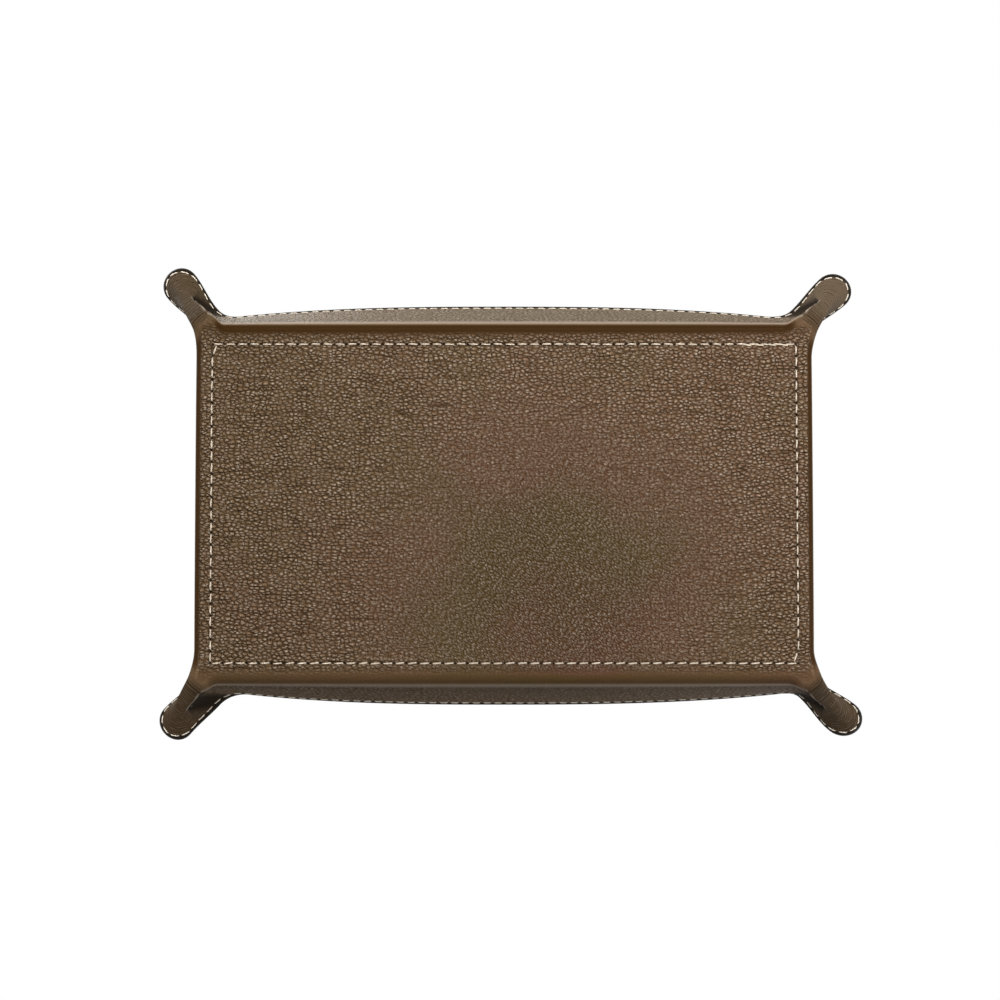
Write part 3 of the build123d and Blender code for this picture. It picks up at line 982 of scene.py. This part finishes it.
def pebbled_leather(pebbles, press):
    """The brown full-grain leather of the outside: pebbled where it lies flat, smooth and darker where
    it is rolled, finely wrinkled on the ears and worn pale along their folds. Its colour also holds
    painted highlights and painted shade on the grain, the wrinkles, the roll, the seams and the ears."""
    pebble_highlight, crease_shade = (0.47, 0.385, 0.30), (0.034, 0.020, 0.008)
    dark_ear, painted_sheen_ear = (0.046, 0.028, 0.013), (0.090, 0.062, 0.038)
    ripple_highlight, ripple_shade = (0.17, 0.125, 0.082), (0.018, 0.010, 0.004)
    valley_shade, roll_brown_and_shade = (0.008, 0.005, 0.002), (0.036, 0.014, 0.001)
    pressed_shade, hole_shade = (0.030, 0.020, 0.012), (0.008, 0.005, 0.003)
    worn_and_highlight_tan = (0.37, 0.31, 0.25)
    material, tree, shader = new_material("pebbled_leather", Roughness=0.7, Specular_IOR_Level=0.04)
    place = hide_input(tree, "hide_place", "Vector")
    pull, fold, wear, shade, curl = (hide_input(tree, "hide_" + name)
                                     for name in ("pull", "fold", "wear", "shade", "curl"))
    split = node(tree, "ShaderNodeSeparateXYZ")
    feed(tree, split.inputs[0], place)
    parts = split.outputs
    fine = fine_grain(tree, place, parts)
    grain = node(tree, "ShaderNodeGroup", node_tree=pebbles)
    for label, value in (("Place", place), ("Fine", fine), ("Stretch", pull)):
        feed(tree, grain.inputs[label], value)
    height, crease, spot = (grain.outputs[label] for label in ("Height", "Crease", "Spot"))
    pressed, hole = pressed_by(tree, press, place)
    ripple = ear_ripples(tree, place, parts, curl)

    # Where the back wall takes its painted shade and a duller finish
    behind = remap(tree, parts["Y"], (HALF_WIDTH + 1) * MM, (HALF_WIDTH + 6) * MM, 0.0, 0.7)
    colour = hide_colour(tree, place, parts, fine, behind)
    # Painted shade in the creases and long wrinkles, and painted highlights on the pebbles' tops
    colour = cover(tree, colour, crease, 0.80, crease_shade)
    colour = cover(tree, colour, spot, 0.95, pebble_highlight)
    # The ears are painted darker, as painted shade, and the front-right one paler, as a painted sheen
    front_right = remap(tree, minus(tree, parts["X"], parts["Y"]), 155 * MM, 185 * MM)
    colour = cover(tree, colour, curl, 0.9, blend_colours(tree, front_right, dark_ear, painted_sheen_ear))
    # Painted highlights on the tops of the ears' wrinkles and painted shade in their hollows
    colour = blend_colours(tree, remap(tree, ripple, -0.1, 0.9, 0.0, 0.42), colour, ripple_highlight)
    colour = blend_colours(tree, remap(tree, ripple, -1.0, -0.1, 0.72, 0.0), colour, ripple_shade)
    # Painted shade in ear valleys, the roll band, seam grooves and needle holes; wear and painted
    # highlight
    for mask, share, over in ((shade, 0.93, valley_shade), (fold, 0.94, roll_brown_and_shade),
                              (pressed, 0.30, pressed_shade), (hole, 0.95, hole_shade),
                              (wear, 0.88, worn_and_highlight_tan)):
        colour = cover(tree, colour, mask, share, over)
    feed(tree, shader.inputs["Base Color"], colour)

    ear_dulls, roughest_more = 0.6, 0.28
    dull = most(tree, shade, most(tree, behind, times(tree, curl, ear_dulls)))
    rougher = times(tree, most(tree, dull, crease), roughest_more)
    feed(tree, shader.inputs["Roughness"], plus(tree, remap(tree, pull, 0.2, 0.9, 0.60, 0.66), rougher))
    ripple_depth, press_depth, hole_depth, whole_depth = 0.16, 0.6, 1.2, 0.42 * MM
    height = plus(tree, height, times(tree, ripple, ripple_depth))
    height = minus(tree, height, times(tree, pressed, press_depth))
    height = minus(tree, height, times(tree, hole, hole_depth))
    add_bump(tree, shader, height, whole_depth)
    return material


def lining_leather(press):
    """The smooth lining leather, with a faint fine grain."""
    dark_brown, pale_brown = (0.135, 0.092, 0.058), (0.175, 0.125, 0.083)
    pressed_shade, hole_shade = (0.05, 0.032, 0.02), (0.012, 0.008, 0.005)
    material, tree, shader = new_material("lining_leather", Roughness=0.75, Specular_IOR_Level=0.2)
    place = hide_input(tree, "hide_place", "Vector")
    pressed, hole = pressed_by(tree, press, place)
    tint = noise(tree, place, 22.0, 4.0)["Fac"]
    fine = node(tree, "ShaderNodeTexVoronoi", voronoi_dimensions="2D", feature="DISTANCE_TO_EDGE",
                Scale=1100.0)
    feed(tree, fine.inputs["Vector"], place)
    colour = blend_colours(tree, remap(tree, tint, 0.3, 0.7), dark_brown, pale_brown)
    # Painted shade where the seams press and in the needle holes
    colour = cover(tree, colour, pressed, 0.3, pressed_shade)
    feed(tree, shader.inputs["Base Color"], cover(tree, colour, hole, 0.9, hole_shade))
    feed(tree, shader.inputs["Roughness"], remap(tree, tint, 0.3, 0.7, 0.68, 0.8))
    height = minus(tree, remap(tree, fine.outputs["Distance"], 0.0, 0.25), times(tree, pressed, 3.0))
    add_bump(tree, shader, height, 0.06 * MM)
    return material


def object_place(tree):
    """The place on a piece, in metres."""
    return tree.nodes.new("ShaderNodeTexCoord").outputs["Object"]


def uneven_finish(name, scale, colours, roughness, depth, **sockets):
    """A finish whose colour, roughness and height all follow one fine noise."""
    material, tree, shader = new_material(name, **sockets)
    uneven = noise(tree, object_place(tree), scale, 3.0)["Fac"]
    feed(tree, shader.inputs["Base Color"], blend_colours(tree, remap(tree, uneven, 0.3, 0.7), *colours))
    feed(tree, shader.inputs["Roughness"], remap(tree, uneven, 0.3, 0.7, *roughness))
    add_bump(tree, shader, uneven, depth)
    return material


def waxed_thread():
    """Cream waxed thread with its fine fibres."""
    return uneven_finish("waxed_thread", 2500.0, ((0.60, 0.51, 0.40), (0.80, 0.73, 0.62)),
                         (0.42, 0.6), 0.03 * MM, Roughness=0.5)


def tack_thread():
    """Brown waxed thread of the pinches."""
    return uneven_finish("tack_thread", 2500.0, ((0.045, 0.030, 0.020), (0.085, 0.060, 0.042)),
                         (0.45, 0.62), 0.03 * MM, Roughness=0.5)


def edge_paint():
    """Dark burnished edge paint, a little uneven."""
    return uneven_finish("edge_paint", 420.0, ((0.007, 0.005, 0.003), (0.017, 0.012, 0.008)),
                         (0.55, 0.7), 0.08 * MM, Roughness=0.6, Specular_IOR_Level=0.04)


def pressed_board():
    """Grey-brown pressed board with short fibres."""
    dark_fibre, pale_fibre = (0.20, 0.17, 0.13), (0.34, 0.30, 0.24)
    material, tree, shader = new_material("pressed_board", Roughness=0.85)
    fibres = noise(tree, object_place(tree), 900.0, 4.0)["Fac"]
    feed(tree, shader.inputs["Base Color"], blend_colours(tree, fibres, dark_fibre, pale_fibre))
    feed(tree, shader.inputs["Roughness"], remap(tree, fibres, 0.3, 0.7, 0.75, 0.95))
    add_bump(tree, shader, fibres, 0.05 * MM)
    return material


def mix_shaders(tree, factor, first, second):
    """Two shaders mixed by a factor."""
    made = tree.nodes.new("ShaderNodeMixShader")
    for socket, value in zip(made.inputs, (factor, first, second)):
        feed(tree, socket, value)
    return made.outputs[0]


def floor_finish():
    """A pale matt floor that fades to white round the tray, and is clear from below and to shadow
    rays."""
    fade_from, fade_to = 0.16, 0.55
    material, tree, shader = new_material("pale_floor", Roughness=0.7)
    place = object_place(tree)
    darker, paler = (0.80, 0.80, 0.80), (0.84, 0.84, 0.84)
    tone = blend_colours(tree, noise(tree, place, 30.0, 2.0)["Fac"], darker, paler)
    feed(tree, shader.inputs["Base Color"], tone)
    spread = node(tree, "ShaderNodeVectorMath", operation="LENGTH")
    feed(tree, spread.inputs[0], place)
    white = tree.nodes.new("ShaderNodeEmission").outputs[0]
    faded = mix_shaders(tree, remap(tree, spread.outputs["Value"], fade_from, fade_to),
                        shader.outputs[0], white)
    clear = tree.nodes.new("ShaderNodeBsdfTransparent").outputs[0]
    under = tree.nodes.new("ShaderNodeNewGeometry").outputs["Backfacing"]
    shadow = tree.nodes.new("ShaderNodeLightPath").outputs["Is Shadow Ray"]
    mixed = mix_shaders(tree, most(tree, under, shadow), faded, clear)
    feed(tree, tree.nodes["Material Output"].inputs["Surface"], mixed)
    return material


def studio_floor():
    """The floor, just under the tray."""
    half, level = 3.0, -0.5 * MM
    mesh = bpy.data.meshes.new("studio_floor")
    corners = [(x * half, y * half, level) for x, y in ((-1, -1), (1, -1), (1, 1), (-1, 1))]
    mesh.from_pydata(corners, [], [(0, 1, 2, 3)])
    floor = bpy.data.objects.new("studio_floor", mesh)
    bpy.context.scene.collection.objects.link(floor)
    mesh.materials.append(floor_finish())


def white_surround():
    """A surround that lights softly and is seen white, directly, mirrored or through something."""
    soft_strength = 0.14
    world = bpy.data.worlds.new("white_surround")
    bpy.context.scene.world = world
    world.use_nodes = True
    tree = world.node_tree
    background = tree.nodes["Background"]
    background.inputs["Color"].default_value = (1, 1, 1, 1)
    rays = tree.nodes.new("ShaderNodeLightPath").outputs
    indirect = most(tree, rays["Is Glossy Ray"], rays["Is Transmission Ray"])
    seen = most(tree, rays["Is Camera Ray"], indirect)
    feed(tree, background.inputs["Strength"], remap(tree, seen, 0.0, 1.0, soft_strength, 1.0))


def soft_lamps():
    """Square soft lamps aimed at the tray: each with its place, its size and its watts."""
    lamps = (
        ("under_key", (0.36, -0.52, -0.25), 0.50, 4.1),
        ("under_fill", (0.12, -0.30, -0.60), 0.45, 5.4),
        ("above_key", (-0.55, -0.45, 0.75), 0.55, 10.0),
        ("above_fill", (0.70, 0.35, 0.60), 0.80, 5.0),
    )
    for name, place, size, watts in lamps:
        data = bpy.data.lights.new(name, "AREA")
        data.size = size
        data.energy = watts
        lamp = bpy.data.objects.new(name, data)
        lamp.location = place
        lamp.rotation_euler = (-Vector(place)).to_track_quat("-Z", "Y").to_euler()
        bpy.context.scene.collection.objects.link(lamp)


def camera():
    """Straight under the base, looking up at it, tipped a little so that the back edge is nearer."""
    distance_under = 240 * MM
    tip = math.radians(1.1)
    aim = Vector((-1.3 * MM, -1.0 * MM, 0))
    data = bpy.data.cameras.new("camera")
    data.sensor_width = 36
    data.lens = 27.45
    eye = bpy.data.objects.new("camera", data)
    eye.location = aim + distance_under * Vector((0, math.sin(tip), -math.cos(tip)))
    forward = (aim - eye.location).normalized()
    right = forward.cross(Vector((0, -1, 0))).normalized()
    up = right.cross(forward)
    eye.rotation_mode = "QUATERNION"
    eye.rotation_quaternion = Matrix((right, up, -forward)).transposed().to_quaternion()
    bpy.context.scene.collection.objects.link(eye)
    bpy.context.scene.camera = eye


def tray():
    """Every piece of the tray, each with its finish."""
    wall_rings, lining_rings, hidden_rings = 46, 34, 10
    press = seam_group()
    thread, tack, board = waxed_thread(), tack_thread(), pressed_board()
    outside = levels(0, 0, BASE_ROLL, wall_rings)
    inside = levels(SKIN, FLOOR, INNER_ROLL, lining_rings)
    lining_floor = LEATHER + 2 * LAYER_PLAY
    leather_back = levels(LEATHER - LAYER_PLAY, LEATHER, HIDDEN_ROLL, hidden_rings)
    lining_back = levels(LEATHER + LAYER_PLAY, lining_floor, HIDDEN_ROLL, hidden_rings)
    skin("outer_leather_hide", "outer_leather", pebbled_leather(pebble_group(), press),
         outside, leather_back, (0, LEATHER))
    skin("lining_hide", "lining", lining_leather(press),
         lining_back, inside, (lining_floor, FLOOR))
    painted_rim(edge_paint())
    seam("base_seam", "base_stitching", base_seam(0, Vector((0, 0, -1))), thread)
    seam("base_seam_inside", None, base_seam(FLOOR, Vector((0, 0, 1))), thread)
    seam("rim_seam", "rim_stitching", rim_seam(0.0, 1), thread)
    seam("rim_seam_inside", None, rim_seam(SKIN, -1), thread)
    for corner in CORNERS:
        corner_tack(corner, tack)
    for name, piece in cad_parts.items():
        if "stiffener" in name or name == "base_board":
            piece.data.materials.clear()
            piece.data.materials.append(board)


tray()
studio_floor()
white_surround()
soft_lamps()
camera()
bpy.context.scene.view_settings.view_transform = "Standard"
